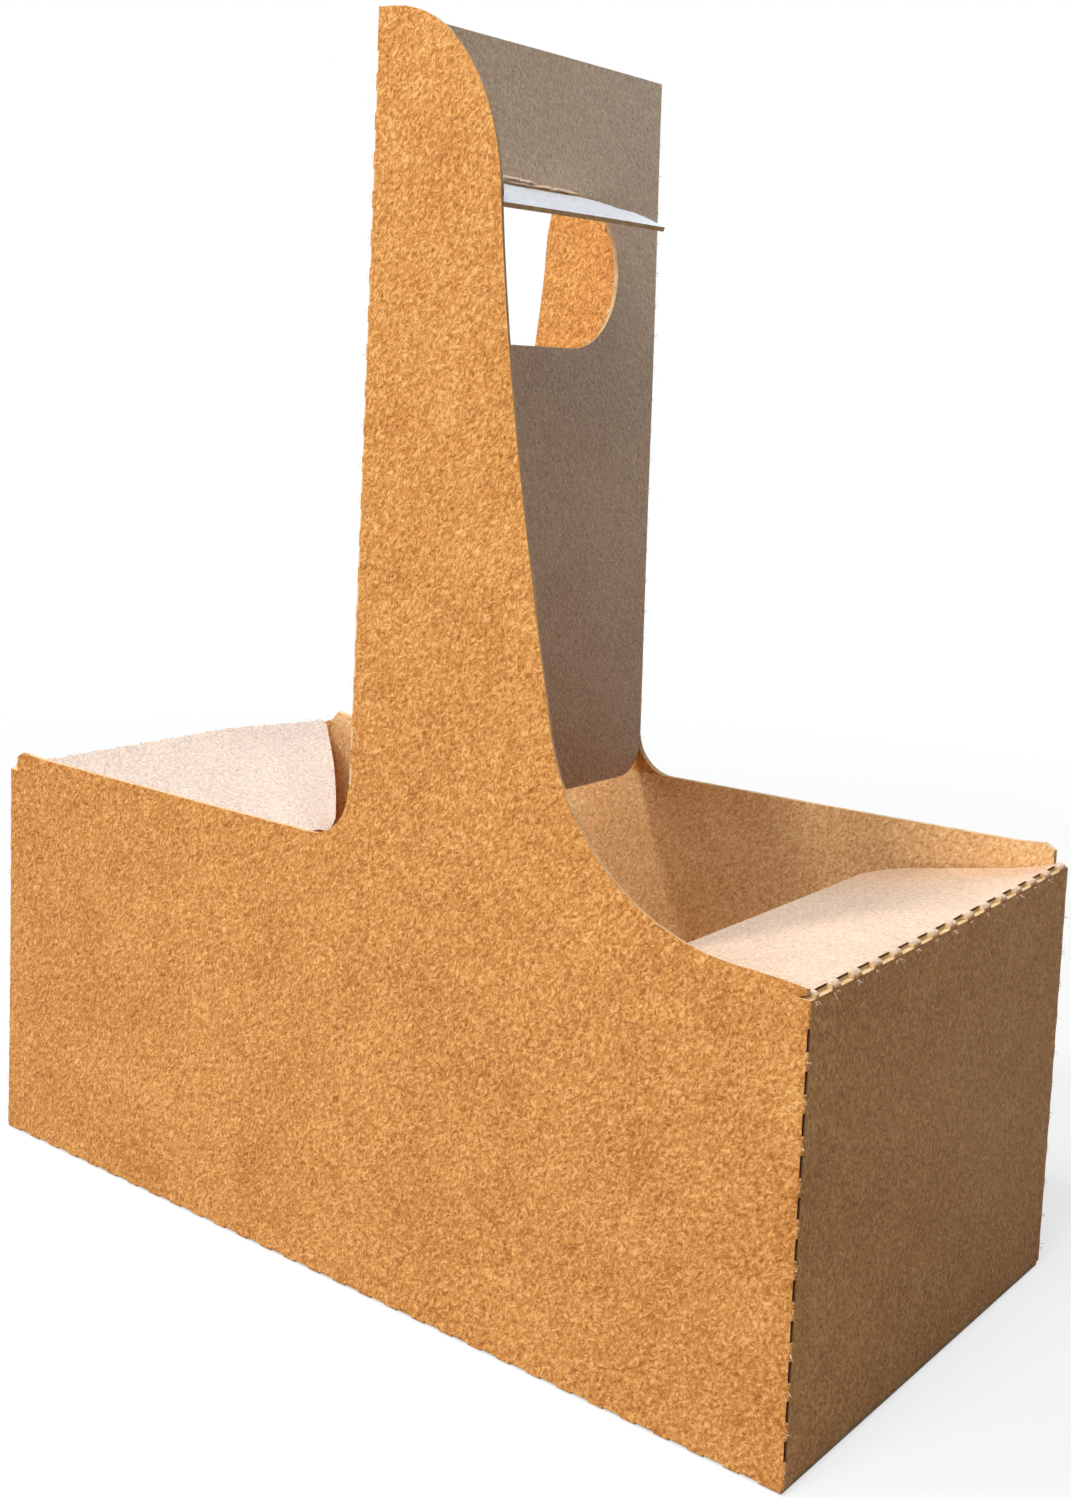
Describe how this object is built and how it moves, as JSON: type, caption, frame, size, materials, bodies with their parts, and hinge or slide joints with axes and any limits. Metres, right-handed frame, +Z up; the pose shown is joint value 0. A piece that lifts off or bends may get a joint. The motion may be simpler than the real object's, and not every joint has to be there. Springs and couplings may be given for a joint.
{
  "type": "cup carrier tray",
  "caption": "Open tray folded from kraft board for two drinks, with curved side towers, a cross panel with a hand hole as handle, and folded end flaps.",
  "frame": {"origin": "middle of the underside, on the surface the tray stands on", "axes": "+Z up, X along the tray through both cup spaces, +Y from the front long wall to the back one; the front wall's tower stands on the +X half"},
  "size_m": [0.19, 0.093, 0.2225],
  "materials": {
    "kraft_board": "uncoated brown kraft board, matt, with paler cut edges"
  },
  "bodies": {
    "tray": {"carrier": "kraft_board"},
    "right_flap": {"end_flap_right": "kraft_board"},
    "left_flap": {"end_flap_left": "kraft_board"},
    "handle_flap": {"hand_flap": "kraft_board"}
  },
  "joints": [
    {"name": "right_flap_fold", "type": "hinge", "parent": "tray", "child": "right_flap", "pos_m": [0.0941, 0, 0.0765], "axis": [0, 1, 0], "range_deg": [-70, 96]},
    {"name": "left_flap_fold", "type": "hinge", "parent": "tray", "child": "left_flap", "pos_m": [-0.0941, 0, 0.0765], "axis": [0, -1, 0], "range_deg": [-60, 106]},
    {"name": "hand_flap_fold", "type": "hinge", "parent": "tray", "child": "handle_flap", "pos_m": [0.0009, 0, 0.1976], "axis": [0, -1, 0], "range_deg": [-62, 80]}
  ]
}
